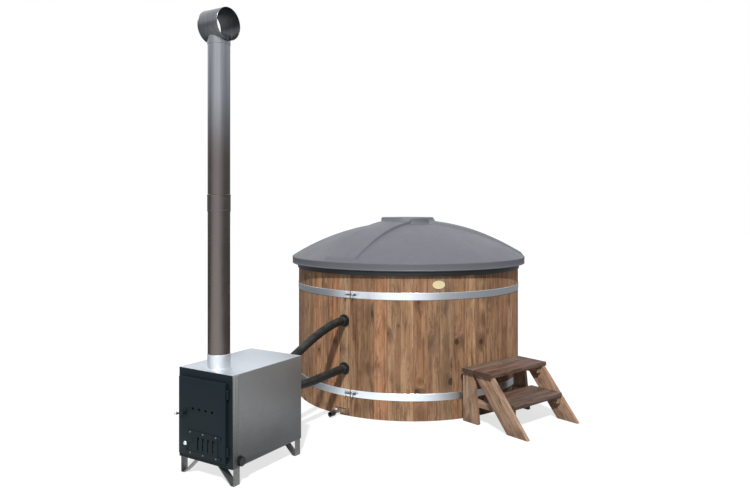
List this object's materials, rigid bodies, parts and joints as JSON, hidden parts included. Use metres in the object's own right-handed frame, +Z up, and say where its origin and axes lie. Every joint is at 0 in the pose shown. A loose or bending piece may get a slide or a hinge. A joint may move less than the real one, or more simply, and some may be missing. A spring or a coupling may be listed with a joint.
{
  "type": "wooden hot tub",
  "caption": "Round stave hot tub under a domed cover, heated by an external wood-fired stove with a tall flue through two hoses, with a free-standing two-tread step.",
  "frame": {"origin": "centre of the tub's base, on the ground, under the middle floor joist", "axes": "+Z up; -Y from the tub's centre towards the stove and its door; +X to the right of someone who stands in front of the stove's door"},
  "size_m": [2.4184, 3.2597, 2.601],
  "materials": {
    "joist_wood": "sawn, treated",
    "floor_ply": "plywood",
    "liner_plastic": "moulded, smooth",
    "stave_wood": "heat-treated, planed, oiled",
    "hoop_steel": "bright band",
    "fastener_steel": "zinc plated",
    "plate_brass": "satin, bare",
    "fitting_plastic": "moulded black",
    "drain_metal": "machined",
    "lever_vinyl": "dipped handle",
    "cover_plastic": "satin grey moulding",
    "cover_rubber": "foam strip",
    "hose_rubber": "smooth hose",
    "fire_iron": "sooted plate",
    "tank_sheet": "welded plate",
    "casing_sheet": "satin sheet",
    "stove_paint": "dark heat-proof paint",
    "shield_steel": "heat shield",
    "seal_rope": "rope gasket",
    "knob_steel": "polished",
    "leg_steel": "galvanised flat bar",
    "collar_steel": "bright",
    "flue_steel": "stainless, warm reflections",
    "tread_wood": "heat-treated, weathered",
    "leg_wood": "heat-treated, planed"
  },
  "bodies": {
    "tub_set": {"floor_joists": "joist_wood", "floor_panel": "floor_ply", "liner_floor": "liner_plastic", "liner": "liner_plastic", "liner_bench": "liner_plastic", "staves": "stave_wood", "upper_hoop": "hoop_steel", "lower_hoop": "hoop_steel", "hoop_bolts": "fastener_steel", "leg_bolts": "fastener_steel", "hose_clamps": "fastener_steel", "nameplate": "plate_brass", "hot_inlet": "fitting_plastic", "cold_outlet": "fitting_plastic", "lock_rings": "fitting_plastic", "inner_grilles": "fitting_plastic", "drain_hose_tail": "fitting_plastic", "floor_drain": "drain_metal", "drain_pipe": "drain_metal", "drain_valve_body": "drain_metal", "stove_ports": "drain_metal", "stove_drain": "drain_metal", "hot_hose": "hose_rubber", "cold_hose": "hose_rubber", "firebox": "fire_iron", "grate": "fire_iron", "tank_shell": "tank_sheet", "casing": "casing_sheet", "rear_panel": "casing_sheet", "base_tray": "casing_sheet", "front_frame": "stove_paint", "hinge_washers": "stove_paint", "hinge_pins": "stove_paint", "stove_legs": "leg_steel", "flue_collar": "collar_steel", "lower_flue": "flue_steel", "upper_flue": "flue_steel", "flue_hat": "flue_steel"},
    "cover": {"cover_shell": "cover_plastic", "cover_panel": "cover_plastic", "cover_seal": "cover_rubber"},
    "stove_door": {"door_panel": "stove_paint", "door_liner": "shield_steel", "door_seal": "seal_rope", "slide_rails": "stove_paint", "rail_screws": "fastener_steel", "latch_plate": "stove_paint"},
    "door_latch": {"latch_spindle": "knob_steel", "latch_handle": "stove_paint", "latch_ball": "knob_steel"},
    "draught_slide": {"draught_plate": "stove_paint", "draught_knob": "knob_steel"},
    "drain_handle": {"drain_lever": "lever_vinyl"},
    "drain_cap": {"stove_drain_cap": "fitting_plastic"},
    "steps": {"upper_tread": "tread_wood", "lower_tread": "tread_wood", "slanted_legs": "leg_wood", "rear_legs": "leg_wood", "step_cleats": "leg_wood", "step_screws": "fastener_steel"}
  },
  "joints": [
    {"name": "cover_lift", "type": "slide", "parent": "tub_set", "child": "cover", "axis": [0, 0, 1], "range_m": [0, 0.6]},
    {"name": "door_swing", "type": "hinge", "parent": "tub_set", "child": "stove_door", "pos_m": [0.158, -2.257, 0.35], "axis": [0, 0, 1], "range_deg": [0, 110]},
    {"name": "latch_turn", "type": "hinge", "parent": "stove_door", "child": "door_latch", "pos_m": [-0.156, -2.267, 0.354], "axis": [0, -1, 0], "range_deg": [0, 79]},
    {"name": "draught_move", "type": "slide", "parent": "stove_door", "child": "draught_slide", "axis": [1, 0, 0], "range_m": [0, 0.019]},
    {"name": "drain_turn", "type": "hinge", "parent": "tub_set", "child": "drain_handle", "pos_m": [-0.06, -0.945, 0.03], "axis": [0, 0, 1], "range_deg": [-90, 0]},
    {"name": "drain_cap_pull", "type": "slide", "parent": "tub_set", "child": "drain_cap", "axis": [1, 0, 0], "range_m": [0, 0.05]},
    {"name": "steps_away", "type": "slide", "parent": "tub_set", "child": "steps", "axis": [0.9472, -0.3206, 0], "range_m": [0, 0.5]}
  ]
}
